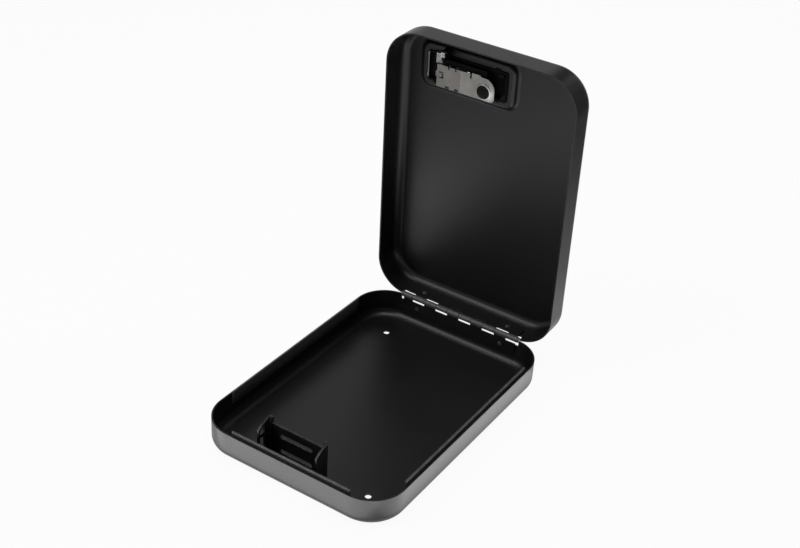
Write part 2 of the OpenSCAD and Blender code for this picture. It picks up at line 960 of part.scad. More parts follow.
// Sliding bar in the housing, with the arm that reaches down to the bracket and the crank's fork
module latch_slider() {
    fork_fit = 0.2;
    slot_w = 2 * (crank_pin_r + fork_fit);
    fork_back = knob_y - spindle_r - 0.4;
    slot_fore = knob_y - crank_r - crank_pin_r - 0.3;
    fork_foot = chassis_floor + 1;
    fork_top = boss_z - 0.4;
    color(plastic)
        in_lid()
            difference() {
                union() {
                    block([arm_left, bar_fore, bar_foot], [finger_right, bar_back, bar_top]);
                    block([arm_left, arm_y, bar_foot], [arm_right, bar_back - 0.5, arm_top]);
                    block([arm_left, arm_y, arm_foot], [arm_right, arm_y + arm_l, arm_top]);
                    block(
                        [finger_right - finger_w, bar_back - 0.5, fork_foot],
                        [finger_right, fork_back, fork_top]
                    );
                }
                block(
                    [knob_x - crank_swing - slot_w / 2, slot_fore, fork_foot - cut],
                    [knob_x - crank_swing + slot_w / 2, fork_back + cut, fork_top + cut]
                );
            }
}

// Metal nose under the arm: a block whose underside is planed off at a slant, and its tongue
module latch_nose() {
    slant = 30;
    // The slanted plane meets the underside in a line across the block from corner to corner
    turn = atan2(nose_l - 2, nose_w + tongue_tip - nose_right);
    color(nickel)
        in_lid()
            difference() {
                union() {
                    block([nose_left, nose_y, nose_foot], [nose_right, nose_y + nose_l, arm_foot]);
                    block(
                        [nose_right - 1, tongue_y, tongue_z],
                        [tongue_tip, tongue_y + tongue_l, tongue_z + tongue_h]
                    );
                }
                translate([nose_left, nose_y + nose_l - 1, nose_foot])
                    rotate([0, 0, -turn])
                        rotate([slant, 0, 0])
                            translate([-4 * nose_l, 0, -4 * nose_h])
                                cube([8 * nose_l, 4 * nose_l, 4 * nose_h]);
            }
}

// Setting slide: a strip inside the chassis with a tab that shows in the square window
module reset_slide() {
    strip_w = 4.4;
    slide_t = 0.8;
    tab_w = 2;
    tab_l = 3.6;
    tab_x = chassis_left + 2.3;
    color(nickel)
        in_lid() {
            block(
                [chassis_left - 1.7, wheel_y - strip_w / 2, chassis_floor + 0.05],
                [cheek_left - 0.3, wheel_y + strip_w / 2, chassis_floor + 0.05 + slide_t]
            );
            block(
                [tab_x, wheel_y - tab_l / 2, chassis_z - 0.3],
                [tab_x + tab_w, wheel_y + tab_l / 2, chassis_floor + 0.2]
            );
        }
}

tray_shell();
front_guard_strip();
left_guard_strip();
right_guard_strip();
striker_bracket();
tray_hinge_leaf();
tray_hinge_rivets();
hinge_pin();
lid_shell();
lid_hinge_leaf();
lid_hinge_rivets();
lock_housing();
lock_chassis();
knob_collar();
detent_spring();
wheel_axle();
number_wheel_1();
number_wheel_2();
number_wheel_3();
turn_knob();
knob_crank();
latch_slider();
latch_nose();
reset_slide();
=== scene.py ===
import bmesh
import bpy
import json
import math
from mathutils import Matrix, Vector


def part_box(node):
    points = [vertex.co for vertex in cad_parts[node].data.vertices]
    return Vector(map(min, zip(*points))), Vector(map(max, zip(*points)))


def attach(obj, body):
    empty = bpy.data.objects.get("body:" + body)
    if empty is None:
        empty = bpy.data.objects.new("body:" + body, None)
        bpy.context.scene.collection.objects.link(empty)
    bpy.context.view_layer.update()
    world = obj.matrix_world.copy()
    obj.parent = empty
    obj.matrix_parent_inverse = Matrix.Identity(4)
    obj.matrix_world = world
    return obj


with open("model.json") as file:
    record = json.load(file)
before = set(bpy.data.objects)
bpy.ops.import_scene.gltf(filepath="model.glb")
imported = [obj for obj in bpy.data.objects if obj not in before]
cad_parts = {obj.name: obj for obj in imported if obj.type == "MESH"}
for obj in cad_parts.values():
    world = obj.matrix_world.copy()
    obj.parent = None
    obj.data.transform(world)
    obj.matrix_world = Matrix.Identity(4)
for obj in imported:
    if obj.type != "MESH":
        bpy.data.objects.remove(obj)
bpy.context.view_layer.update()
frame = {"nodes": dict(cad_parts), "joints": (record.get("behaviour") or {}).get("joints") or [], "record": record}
nodes = frame["nodes"]
joints = {joint["name"]: joint for joint in frame["joints"]}
scene = bpy.context.scene

MM = 0.001

# ---------------------------------------------------------------- camera
# solved from the photograph together with the box's proportions
AZIMUTH = math.radians(31.5707)
ELEVATION = math.radians(32.1335)
ROLL = math.radians(3.8581)
DISTANCE = 1.0298808
TARGET = Vector((-0.0126739, 0.0400004, 0.100783))
FOCAL_PIXELS = 1330.1411
IMAGE_WIDTH = 800
SENSOR = 36.0
CLIP_NEAR = 0.01
CLIP_FAR = 50


def make_camera():
    """The camera of the photograph: an orbit view, rolled a little about its own axis."""
    back = Vector((
        math.sin(AZIMUTH) * math.cos(ELEVATION),
        -math.cos(AZIMUTH) * math.cos(ELEVATION),
        math.sin(ELEVATION),
    ))
    right = (-back).cross(Vector((0, 0, 1))).normalized()
    up = right.cross(-back)
    rolled_right = right * math.cos(ROLL) + up * math.sin(ROLL)
    rolled_up = up * math.cos(ROLL) - right * math.sin(ROLL)
    data = bpy.data.cameras.new("camera")
    data.sensor_fit = "HORIZONTAL"
    data.sensor_width = SENSOR
    data.lens = FOCAL_PIXELS / IMAGE_WIDTH * SENSOR
    data.clip_start = CLIP_NEAR
    data.clip_end = CLIP_FAR
    camera = bpy.data.objects.new("camera", data)
    scene.collection.objects.link(camera)
    place = TARGET + back * DISTANCE
    turn = Matrix((rolled_right, rolled_up, back)).transposed().to_4x4()
    camera.matrix_world = Matrix.Translation(place) @ turn
    scene.camera = camera


make_camera()

# ---------------------------------------------------------------- places
# Places are in mm, as in the CAD. Those in the lid are written for the closed box,
# and FROM_CLOSED takes them to the open lid, in metres. FROM_OPEN only scales.
OPENED = math.radians(joints["lid_hinge"]["range_deg"][1])
HINGE = Vector(joints["lid_hinge"]["pos_m"]) / MM


def about_hinge(angle):
    return Matrix.Translation(HINGE) @ Matrix.Rotation(angle, 4, "X") @ Matrix.Translation(-HINGE)


def closed_place(point):
    """Where a point of the open lid, in metres, is in the closed box, in mm."""
    return about_hinge(OPENED) @ (Vector(point) / MM)


def closed_box(node):
    """The lowest and highest corners, in mm, of a node in the lid of the closed box."""
    points = [closed_place(vertex.co) for vertex in nodes[node].data.vertices]
    low = Vector([min(point[axis] for point in points) for axis in range(3)])
    high = Vector([max(point[axis] for point in points) for axis in range(3)])
    return low, high


FROM_OPEN = Matrix.Scale(MM, 4)
FROM_CLOSED = FROM_OPEN @ about_hinge(-OPENED)
KNOB = closed_place(joints["knob_turn"]["pos_m"])
WHEELS = [closed_place(joints["wheel_%d_turn" % number]["pos_m"]) for number in (1, 2, 3)]
WHEEL_R = 5.0
HOUSING_LOW, HOUSING_HIGH = closed_box("lock_housing")
OUTER_FACE = HOUSING_HIGH.z
INNER_RIM = HOUSING_LOW.z
CHASSIS_LOW = closed_box("lock_chassis")[0]
CHASSIS_SEAM = CHASSIS_LOW.x + 22.0

# ---------------------------------------------------------------- node helpers


class Tree:
    """A short way to write a material's node tree."""

    def __init__(self, tree):
        self.tree = tree
        tree.nodes.clear()

    def add(self, kind, inputs=None, **settings):
        """A node, with each input linked to a socket or set to a value."""
        node = self.tree.nodes.new(kind)
        for key, value in settings.items():
            setattr(node, key, value)
        for key, value in (inputs or {}).items():
            socket = node.inputs[key]
            if isinstance(value, bpy.types.NodeSocket):
                self.tree.links.new(value, socket)
            else:
                socket.default_value = value
        return node

    def math(self, operation, a, b=0.0):
        return self.add("ShaderNodeMath", {0: a, 1: b}, operation=operation).outputs[0]

    def ramp(self, value, low, high, to_low=0.0, to_high=1.0):
        """A straight ramp, held at both ends."""
        node = self.add("ShaderNodeMapRange", {
            "Value": value, "From Min": low, "From Max": high,
            "To Min": to_low, "To Max": to_high,
        })
        return node.outputs["Result"]

    def blend(self, factor, a, b):
        """Colour a where the factor is 0, and b where it is 1."""
        return self.add("ShaderNodeMix", {0: factor, 6: a, 7: b}, data_type="RGBA").outputs[2]

    def place(self):
        """Object coordinates in metres, which for a CAD node or piece are the shared frame's."""
        return self.add("ShaderNodeTexCoord").outputs["Object"]

    def stretched(self, x, y, z):
        """Object coordinates scaled along each axis."""
        node = self.add("ShaderNodeMapping", {"Vector": self.place(), "Scale": (x, y, z)})
        return node.outputs["Vector"]

    def along(self, axis, place):
        return self.add("ShaderNodeSeparateXYZ", {0: place}).outputs[axis]

    def distance(self, point, place=None):
        """Distance in metres from a fixed point."""
        inputs = {0: place or self.place(), 1: point}
        return self.add("ShaderNodeVectorMath", inputs, operation="DISTANCE").outputs["Value"]

    def noise(self, scale, detail, roughness, place=None):
        node = self.add("ShaderNodeTexNoise", {
            "Vector": place or self.place(), "Scale": scale, "Detail": detail, "Roughness": roughness,
        })
        return node.outputs["Fac"]

    def rounded(self, radius):
        """The normal, with every edge rounded to a radius in metres."""
        return self.add("ShaderNodeBevel", {"Radius": radius}, samples=4).outputs[0]

    def edges(self, rounded, spread):
        """1 on edges, where the rounded normal leaves the face's."""
        flat = self.add("ShaderNodeNewGeometry").outputs["Normal"]
        dot = self.add("ShaderNodeVectorMath", {0: rounded, 1: flat}, operation="DOT_PRODUCT")
        return self.ramp(dot.outputs["Value"], 1.0, 1.0 - spread)

    def bump(self, height, distance, strength, normal):
        node = self.add("ShaderNodeBump", {
            "Height": height, "Distance": distance, "Strength": strength, "Normal": normal,
        })
        return node.outputs["Normal"]

    def mix_shaders(self, factor, a, b):
        return self.add("ShaderNodeMixShader", {0: factor, 1: a.outputs[0], 2: b.outputs[0]})

    def surface(self, base, rough, **inputs):
        """A principled surface. An input's name is written with _ for each space."""
        settings = {"Base Color": base, "Roughness": rough}
        settings.update({name.replace("_", " "): value for name, value in inputs.items()})
        self.finish(self.add("ShaderNodeBsdfPrincipled", settings))

    def finish(self, shader):
        self.add("ShaderNodeOutputMaterial", {"Surface": shader.outputs[0]})


def new_material(name):
    material = bpy.data.materials.new(name)
    material.use_nodes = True
    return material, Tree(material.node_tree)


# ---------------------------------------------------------------- materials
# noise scales are per metre, and radii, distances and bumps in metres
EDGE_SPREAD = 0.3


def grey(value):
    return (value, value, value, 1)


def coat_black(value):
    """The faintly blue black of the powder coat."""
    return (value, value, value * 1.08, 1)


def rubbed_barrel(t):
    """1 on the hinge's barrel, found by its distance from the hinge's axis: where a highlight is painted."""
    off_axis = t.distance(HINGE * MM, t.stretched(0, 1, 1))
    barrel = t.ramp(off_axis, 0.0025, 0.0029, 1.0, 0.0)
    patches = t.ramp(t.noise(320.0, 3.0, 0.6), 0.3, 0.7, 0.75, 1.0)
    return t.math("MULTIPLY", barrel, patches)


def powder_coat(name, tones=(0.0036, 0.0050), edge_radius=0.0005, edge_wear_and_highlight=0.55, barrel=False):
    """Satin black powder coat: orange peel, soft mottling, dust, thin spots on the edges. Where the edge wear is
    set high, these bare edges are also a painted highlight.

    With barrel, the hinge's barrel is painted paler than its leaf: a painted highlight.
    """
    material, t = new_material(name)
    # the paler grey of the painted highlight on the hinge's barrel
    barrel_highlight_grey = (0.105, 0.105, 0.107, 1)
    bare_steel = (0.32, 0.31, 0.30, 1)
    rounded = t.rounded(edge_radius)
    broad = t.noise(14.0, 3.0, 0.6)
    fine = t.noise(620.0, 2.0, 0.55)
    peel = t.noise(900.0, 1.0, 0.4)
    dust = t.ramp(t.noise(2600.0, 1.0, 0.5), 0.66, 0.8)
    patches = t.ramp(t.noise(180.0, 3.0, 0.7), 0.42, 0.75)
    worn_and_highlit_edges = t.math("MULTIPLY", t.edges(rounded, 0.25), patches)
    base = t.blend(t.ramp(broad, 0.3, 0.7), coat_black(tones[0]), coat_black(tones[1]))
    # painted highlight: the hinge's barrel is painted paler, in patches
    if barrel:
        base = t.blend(rubbed_barrel(t), base, barrel_highlight_grey)
    base = t.blend(t.math("MULTIPLY", dust, 0.05), base, grey(0.30))
    # bare steel on worn edges; where the edge wear is set high, this is also a painted highlight
    base = t.blend(t.math("MULTIPLY", worn_and_highlit_edges, edge_wear_and_highlight), base, bare_steel)
    mottled = t.ramp(broad, 0.2, 0.8, 0.36, 0.42)
    rough = t.math("ADD", mottled, t.ramp(fine, 0.3, 0.7, -0.02, 0.03))
    normal = t.bump(peel, 0.00004, 0.55, rounded)
    normal = t.bump(fine, 0.00003, 0.4, normal)
    t.surface(
        base, rough, Normal=normal, Specular_IOR_Level=0.44, Specular_Tint=(0.97, 0.96, 1.0, 1),
        Coat_Weight=0.12, Coat_Roughness=0.3,
    )
    return material


def nickel_plate():
    """Dull nickel over pressed steel: drawn grain, cloudy stains, a painted glint beside the hub."""
    material, t = new_material("nickel_plate")
    dark = (0.27, 0.262, 0.243, 1)
    pale = (0.38, 0.372, 0.348, 1)
    scratch = (0.20, 0.19, 0.17, 1)
    dull = (0.20, 0.182, 0.172, 1)
    seam_shine = (0.55, 0.54, 0.52, 1)
    # the pale grey of the painted glint beside the hub
    hub_glint_grey = (0.80, 0.80, 0.78, 1)
    edge_shine = (0.80, 0.79, 0.77, 1)
    rounded = t.rounded(0.00025)
    grain = t.noise(1.0, 3.0, 0.6, t.stretched(260.0, 2600.0, 2600.0))
    cloud = t.noise(70.0, 4.0, 0.65)
    base = t.blend(t.ramp(cloud, 0.3, 0.7), dark, pale)
    scratched = t.math("MULTIPLY", t.ramp(grain, 0.5, 0.85), 0.35)
    base = t.blend(scratched, base, scratch)

    # the chassis is duller left of its seam, and the seam itself shines
    seam_x = CHASSIS_SEAM * MM
    x = t.along("X", t.place())
    left = t.ramp(x, seam_x - 0.0002, seam_x + 0.0002, 1.0, 0.0)
    base = t.blend(t.math("MULTIPLY", left, 0.5), base, dull)
    off_seam = t.math("ABSOLUTE", t.math("SUBTRACT", x, seam_x))
    seam = t.ramp(off_seam, 0.0001, 0.0004, 1.0, 0.0)
    base = t.blend(t.math("MULTIPLY", seam, 0.45), base, seam_shine)

    # a painted highlight: a glint on the plate beside the hub, broken up by the cloudy stains
    beside_hub = FROM_CLOSED @ Vector((KNOB.x + 2.7, KNOB.y + 0.8, CHASSIS_LOW.z))
    near = t.ramp(t.distance(beside_hub), 0.0040, 0.0078, 1.0, 0.0)
    painted_hub_glint = t.math("MULTIPLY", near, t.ramp(cloud, 0.3, 0.7, 0.7, 1.0))
    base = t.blend(painted_hub_glint, base, hub_glint_grey)
    edge = t.edges(rounded, EDGE_SPREAD)
    base = t.blend(t.math("MULTIPLY", edge, 0.45), base, edge_shine)
    clouded = t.ramp(cloud, 0.25, 0.75, 0.38, 0.50)
    rough = t.math("ADD", clouded, t.ramp(grain, 0.3, 0.7, -0.04, 0.05))
    t.surface(base, rough, Normal=t.bump(grain, 0.00002, 0.35, rounded), Metallic=1.0)
    return material


def spring_steel():
    """Rolled spring steel, brushed along its length."""
    material, t = new_material("spring_steel")
    grain = t.noise(1.0, 2.0, 0.6, t.stretched(300.0, 3000.0, 3000.0))
    base = t.blend(t.ramp(grain, 0.3, 0.7), grey(0.36), grey(0.50))
    rough = t.ramp(grain, 0.3, 0.7, 0.26, 0.40)
    t.surface(base, rough, Normal=t.bump(grain, 0.00002, 0.3, t.rounded(0.0002)), Metallic=1.0)
    return material


def bright_zinc():
    """Die-cast zinc of the latch nose, brought to a polish by rubbing."""
    material, t = new_material("bright_zinc")
    dark = (0.48, 0.475, 0.46, 1)
    pale = (0.66, 0.655, 0.64, 1)
    edge_shine = (0.92, 0.92, 0.90, 1)
    rounded = t.rounded(0.0004)
    cloud = t.noise(260.0, 3.0, 0.6)
    rub = t.noise(1.0, 2.0, 0.6, t.stretched(2400.0, 300.0, 300.0))
    base = t.blend(t.ramp(cloud, 0.3, 0.7), dark, pale)
    edge = t.edges(rounded, EDGE_SPREAD)
    base = t.blend(t.math("MULTIPLY", edge, 0.5), base, edge_shine)
    clouded = t.ramp(cloud, 0.3, 0.7, 0.24, 0.34)
    rough = t.math("ADD", clouded, t.ramp(rub, 0.3, 0.7, -0.03, 0.05))
    t.surface(base, rough, Normal=t.bump(rub, 0.00002, 0.3, rounded), Metallic=1.0)
    return material


def plastic(name, tones, grain, roughness, specular):
    """Moulded plastic: fine spark-eroded grain, cloudy gloss, edges paler where rubbing has worn them."""
    material, t = new_material(name)
    rounded = t.rounded(0.0003)
    cloud = t.noise(45.0, 3.0, 0.6)
    cells = t.noise(grain, 2.0, 0.6)
    base = t.blend(t.ramp(cloud, 0.3, 0.7), grey(tones[0]), grey(tones[1]))
    edge = t.edges(rounded, EDGE_SPREAD)
    base = t.blend(t.math("MULTIPLY", edge, 0.10), base, grey(0.12))
    grained = t.ramp(cells, 0.3, 0.7, roughness[0], roughness[1])
    rough = t.math("ADD", grained, t.ramp(cloud, 0.3, 0.7, -0.03, 0.03))
    t.surface(base, rough, Normal=t.bump(cells, 0.00003, 0.5, rounded), Specular_IOR_Level=specular)
    return material


def white_print():
    """Pad-printed white with thin, worn spots."""
    material, t = new_material("white_print")
    white = (0.72, 0.72, 0.70, 1)
    thin = (0.30, 0.30, 0.29, 1)
    worn = t.ramp(t.noise(1500.0, 3.0, 0.7), 0.60, 0.72)
    base = t.blend(t.math("MULTIPLY", worn, 0.35), white, thin)
    t.surface(base, t.ramp(worn, 0.0, 1.0, 0.45, 0.65), Specular_IOR_Level=0.4)
    return material


COAT = powder_coat("powder_coat")
# the bracket: a little paler, its wider bare edges partly wear and partly a painted highlight
BRACKET_COAT = powder_coat("bracket_coat", (0.006, 0.009), edge_radius=0.0009, edge_wear_and_highlight=0.9)
# the guard strips and rivets: the coat painted far paler, painted light for the strips' lit faces; their bare
# edges are also a painted highlight
PAINTED_LIGHT_STRIP_COAT = powder_coat("painted_light_strip_coat", (0.055, 0.072), edge_radius=0.0009, edge_wear_and_highlight=0.9)
HINGE_COAT = powder_coat("hinge_coat", barrel=True)
NICKEL = nickel_plate()
INNER_PLASTIC = plastic("inner_plastic", (0.0018, 0.0030), 1400.0, (0.60, 0.72), specular=0.08)
HUB_PLASTIC = plastic("hub_plastic", (0.003, 0.005), 1600.0, (0.26, 0.36), specular=0.12)
KNOB_PLASTIC = plastic("knob_plastic", (0.010, 0.015), 1900.0, (0.34, 0.44), specular=0.5)
WHEEL_PLASTIC = plastic("wheel_plastic", (0.006, 0.010), 1800.0, (0.38, 0.50), specular=0.4)
PRINT = white_print()
SLOTS = {
    "black_powder_coat": COAT,
    "nickel_plate": NICKEL,
    "spring_steel": spring_steel(),
    "black_plastic": INNER_PLASTIC,
    "wheel_plastic": WHEEL_PLASTIC,
}
NODE_FINISH = {
    "latch_nose": bright_zinc(),
    "turn_knob": KNOB_PLASTIC,
    "striker_bracket": BRACKET_COAT,
    "front_guard_strip": PAINTED_LIGHT_STRIP_COAT,
    "left_guard_strip": PAINTED_LIGHT_STRIP_COAT,
    "right_guard_strip": PAINTED_LIGHT_STRIP_COAT,
    "tray_hinge_leaf": HINGE_COAT,
    "lid_hinge_leaf": HINGE_COAT,
    "tray_hinge_rivets": PAINTED_LIGHT_STRIP_COAT,
    "lid_hinge_rivets": PAINTED_LIGHT_STRIP_COAT,
}
for part in frame["record"]["subparts"]:
    material = NODE_FINISH.get(part["node"], SLOTS[part["material_slot"]])
    for slot in nodes[part["node"]].material_slots:
        slot.material = material

# ---------------------------------------------------------------- detail pieces
CORNER_STEPS = 6
SPOT_STEPS = 20
# how far a print or a raised piece goes into the face under it, and a print's rise over it
SINK = 0.05
PRINT_RISE = 0.06


def add_piece(name, bm, material, body, place=FROM_CLOSED, smooth=False):
    """A piece from a mesh in mm, which place carries to metres. It rides on a body."""
    bmesh.ops.recalc_face_normals(bm, faces=bm.faces)
    mesh = bpy.data.meshes.new(name)
    bm.to_mesh(mesh)
    bm.free()
    mesh.transform(place)
    mesh.materials.append(material)
    for polygon in mesh.polygons:
        polygon.use_smooth = smooth
    piece = bpy.data.objects.new(name, mesh)
    scene.collection.objects.link(piece)
    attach(piece, body)


def slab(bm, outline, foot, top, bevel=0.0):
    """An upright prism on an outline, with its upper edge bevelled."""
    face = bm.faces.new([bm.verts.new((x, y, foot)) for x, y in outline])
    raised = bmesh.ops.extrude_face_region(bm, geom=[face])
    verts = [v for v in raised["geom"] if isinstance(v, bmesh.types.BMVert)]
    bmesh.ops.translate(bm, verts=verts, vec=(0, 0, top - foot))
    if bevel:
        edges = {e for v in verts for e in v.link_edges if e.other_vert(v) in verts}
        bmesh.ops.bevel(bm, geom=list(edges), offset=bevel, segments=2, affect="EDGES", profile=0.5)


def polar(cx, cy, r, angle):
    return (cx + r * math.cos(angle), cy + r * math.sin(angle))


def rounded_outline(cx, cy, width, length, r):
    """A rectangle with rounded corners, given by its middle and its sides."""
    points = []
    for quarter, (sx, sy) in enumerate(((1, 1), (-1, 1), (-1, -1), (1, -1))):
        corner = (cx + sx * (width / 2 - r), cy + sy * (length / 2 - r))
        for i in range(CORNER_STEPS + 1):
            points.append(polar(*corner, r, math.radians(90 * quarter + 90 * i / CORNER_STEPS)))
    return points


def circle_outline(cx, cy, r, steps=SPOT_STEPS):
    return [polar(cx, cy, r, 2 * math.pi * i / steps) for i in range(steps)]


def block(bm, middle, size, r, foot, top, bevel=0.0):
    """A slab with rounded corners, given by its middle and its two sides."""
    slab(bm, rounded_outline(*middle, *size, r), foot, top, bevel)


def ring_of_faces(bm, a, b):
    """Joins two closed rows of as many vertices."""
    n = len(a)
    for i in range(n):
        bm.faces.new((a[i], a[(i + 1) % n], b[(i + 1) % n], b[i]))


def ring_slab(bm, outer, inner, foot, top, crown=0.0):
    """A closed band between two outlines of as many points, with a crown along its middle."""
    rows = []
    for outline, z in ((outer, foot), (outer, top), (inner, top), (inner, foot)):
        rows.append([bm.verts.new((x, y, z)) for x, y in outline])
    if crown:
        middle = [((ax + bx) / 2, (ay + by) / 2) for (ax, ay), (bx, by) in zip(outer, inner)]
        rows.insert(2, [bm.verts.new((x, y, top + crown)) for x, y in middle])
    for a, b in zip(rows, rows[1:] + rows[:1]):
        ring_of_faces(bm, a, b)


# the number wheels' digits
DIGITS = 10
DIGIT_HEIGHT = 2.1
DIGIT_RISE = 0.03
DIGIT_BANDS = 10


def digit_mesh(text):
    """A digit of the built-in font, flat, cut into bands so that it can bend."""
    curve = bpy.data.curves.new("digit", "FONT")
    curve.body = text
    curve.resolution_u = 4
    holder = bpy.data.objects.new("digit", curve)
    mesh = bpy.data.meshes.new_from_object(holder)
    bm = bmesh.new()
    bm.from_mesh(mesh)
    bpy.data.objects.remove(holder)
    bpy.data.curves.remove(curve)
    bpy.data.meshes.remove(mesh)
    xs = [v.co.x for v in bm.verts]
    ys = [v.co.y for v in bm.verts]
    middle = Vector(((max(xs) + min(xs)) / 2, (max(ys) + min(ys)) / 2, 0))
    scale = DIGIT_HEIGHT / (max(ys) - min(ys))
    for v in bm.verts:
        v.co = (v.co - middle) * scale
    for band in range(1, DIGIT_BANDS):
        cut = (0, (band - DIGIT_BANDS / 2) * DIGIT_HEIGHT / DIGIT_BANDS, 0)
        geom = bm.verts[:] + bm.edges[:] + bm.faces[:]
        bmesh.ops.bisect_plane(bm, geom=geom, plane_co=cut, plane_no=(0, 1, 0))
    return bm


def make_wheel_numbers(number, centre):
    """0 to 9 round one wheel, each between two grooves. At rest no two wheels show the same."""
    body = "wheel_%d" % number
    step = 2 * math.pi / DIGITS
    r = WHEEL_R + DIGIT_RISE
    joined = bmesh.new()
    for digit in range(DIGITS):
        bm = digit_mesh(str(digit))
        turn = step * (digit + 3 * number - 1)
        for v in bm.verts:
            angle = turn + v.co.y / WHEEL_R
            v.co = centre + Vector((v.co.x, r * math.sin(angle), r * math.cos(angle)))
        mesh = bpy.data.meshes.new("digit")
        bm.to_mesh(mesh)
        bm.free()
        joined.from_mesh(mesh)
        bpy.data.meshes.remove(mesh)
    add_piece(body + "_numbers", joined, PRINT, body)


def make_leaf_tabs():
    """Tabs that fill two of the lid leaf's five notches, up to the barrel."""
    knuckles = 10
    low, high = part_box("hinge_pin")
    knuckle = (high[0] - low[0]) / MM / knuckles
    y = HINGE.y + 3.28
    size = (knuckle, 1.36)
    foot = HINGE.z + 0.85
    top = foot + 0.92
    bm = bmesh.new()
    # the notches' middles, in knuckles from the middle of the hinge
    for notch in (-0.5, 1.5):
        block(bm, (notch * knuckle, y), size, 0.15, foot, top, 0.08)
    add_piece("leaf_tabs", bm, COAT, "lid", place=FROM_OPEN)


def make_housing_webs():
    """A corner web, a lug and two ribs inside the housing, right of the chassis."""
    wall = 4.5
    web = (4.9, 6.0)
    lug = (4.4, 2.4)
    rib = (0.7, 7.0)
    web_foot = INNER_RIM + 0.16
    lug_foot = INNER_RIM + 0.26
    top = lug_foot + 2.5
    x = HOUSING_HIGH.x - wall
    y = HOUSING_HIGH.y - wall
    bm = bmesh.new()
    slab(bm, [(x, y), (x - web[0], y), (x, y - web[1])], web_foot, web_foot + 0.6)
    block(bm, (x - 4.5, y - 19.5), lug, 0.5, lug_foot, top)
    for inset in (4.5, 0.7):
        block(bm, (x - inset, y - 12.0), rib, 0.3, top - 1.1, top)
    add_piece("housing_webs", bm, HUB_PLASTIC, "lid")


def make_window_frame():
    """A low satin frame round the three number windows."""
    width = 22.6
    length = 13.6
    corner = 2.2
    band = 1.1
    x, y = WHEELS[1].xy
    outer = rounded_outline(x, y, width, length, corner)
    inner = rounded_outline(x, y, width - 2 * band, length - 2 * band, corner - band)
    bm = bmesh.new()
    ring_slab(bm, outer, inner, OUTER_FACE - SINK, OUTER_FACE + 0.25, crown=0.18)
    add_piece("window_frame", bm, KNOB_PLASTIC, "lid", smooth=True)


def make_index_marks():
    """An arrow at each end of the windows, a dot where the knob rests, a ring where it stops."""
    foot = OUTER_FACE - SINK
    top = OUTER_FACE + PRINT_RISE
    arrow = ((11.9, 0), (13.7, 0.9), (13.7, -0.9))
    from_knob = 9.5
    dot_r = 0.55
    x, y = WHEELS[1].xy
    bm = bmesh.new()
    for side in (-1, 1):
        slab(bm, [(x + side * u, y + v) for u, v in arrow][::side], foot, top)
    rest, stop = [
        polar(KNOB.x, KNOB.y, from_knob, math.radians(turn - 90))
        for turn in joints["knob_turn"]["range_deg"]
    ]
    slab(bm, circle_outline(*rest, dot_r), foot, top)
    ring_slab(bm, circle_outline(*stop, dot_r + 0.1), circle_outline(*stop, dot_r - 0.25), foot, top)
    add_piece("index_marks", bm, PRINT, "lid")


# the turning knob
KNOB_TEETH = 60
GRIP_TOP = closed_box("turn_knob")[1].z
GRIP_HEIGHT = 2.1
FLANGE_TOP = GRIP_TOP - GRIP_HEIGHT


def make_knob_coin_edge():
    """Fine teeth round the knob's flange, and a low ring inside them."""
    tooth = ((6.8, -0.16), (7.7, -0.18), (7.7, 0.18), (6.8, 0.16))
    tooth_top = FLANGE_TOP + 0.16
    ring_radii = (6.6, 6.2)
    ring_top = FLANGE_TOP + 0.08
    half_grip = 2.0
    foot = FLANGE_TOP - SINK
    bm = bmesh.new()
    for i in range(KNOB_TEETH):
        a = 2 * math.pi * i / KNOB_TEETH
        turn = Matrix.Translation(KNOB) @ Matrix.Rotation(a, 4, "Z")
        slab(bm, [(turn @ Vector((*point, 0))).xy for point in tooth], foot, tooth_top, 0.05)
    outer, inner = [circle_outline(KNOB.x, KNOB.y, r, KNOB_TEETH) for r in ring_radii]
    ring_slab(bm, outer, inner, foot, ring_top, crown=0.08)
    # the grip crosses the ring: what would stand inside it is left out
    buried = [face for face in bm.faces if abs(face.calc_center_median().x - KNOB.x) < half_grip]
    bmesh.ops.delete(bm, geom=buried, context="FACES")
    add_piece("knob_coin_edge", bm, KNOB_PLASTIC, "knob")


def make_knob_pointer():
    """A white line on one end of the grip."""
    line = (0.8, 3.6)
    bm = bmesh.new()
    block(bm, (KNOB.x, KNOB.y - 4.4), line, 0.35, GRIP_TOP - 0.1, GRIP_TOP + PRINT_RISE, 0.03)
    add_piece("knob_pointer", bm, PRINT, "knob")


# the crank's hub, seen from inside the lid
HUB_FACE = closed_box("knob_crank")[0].z
HUB_STEPS = 48
# radius and rise over the hub's face, from the rim to the middle
HUB_DOME = ((5.35, 0.0), (5.2, 0.16), (4.6, 0.34), (3.4, 0.50), (1.8, 0.58))
# the dome where the holes are: its rise in the middle, and its fall per mm squared
HUB_RISE = 0.56
HUB_FALL = 0.035 / 3
# place from the hub's middle, and radius
HUB_HOLES = ((-2.2, 1.7, 0.85), (0.2, -3.2, 0.45), (3.3, 0.6, 0.4))


def make_hub_cap():
    """The hub's low dome, which looks into the lid, toward lower z."""
    bm = bmesh.new()
    rings = []
    for r, rise in HUB_DOME:
        outline = circle_outline(KNOB.x, KNOB.y, r, HUB_STEPS)
        rings.append([bm.verts.new((x, y, HUB_FACE - rise)) for x, y in outline])
    for a, b in zip(rings, rings[1:]):
        ring_of_faces(bm, a, b)
    bm.faces.new(rings[-1])
    bm.faces.new(rings[0][::-1])
    add_piece("hub_cap", bm, HUB_PLASTIC, "knob", smooth=True)


